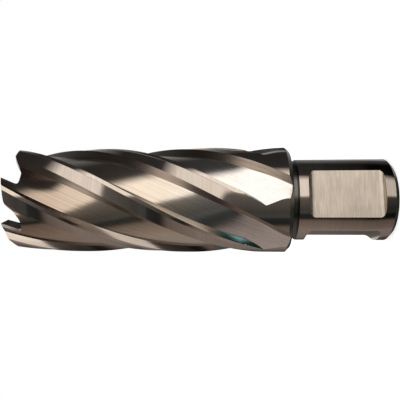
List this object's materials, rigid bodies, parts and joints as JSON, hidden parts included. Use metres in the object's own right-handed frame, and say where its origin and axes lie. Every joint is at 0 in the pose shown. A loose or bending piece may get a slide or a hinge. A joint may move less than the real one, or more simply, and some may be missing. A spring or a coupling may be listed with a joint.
{
  "type": "annular cutter",
  "caption": "Hollow core-drilling cutter with helical lands, a ring of end teeth, a short collar and a straight shank with two clamping flats.",
  "frame": {"origin": "centre of the shank's end face, which the cutter stands on", "axes": "+Z along the cutter's axis from the shank's end face to the teeth; -Y is the side that the picture shows, with one clamping flat turned 9.4 degrees from it towards +X"},
  "size_m": [0.025, 0.025, 0.089],
  "materials": {
    "ground_steel": "ground high-speed steel, bright, with fine grinding lines"
  },
  "bodies": {
    "root": {"annular_cutter": "ground_steel"}
  },
  "joints": []
}
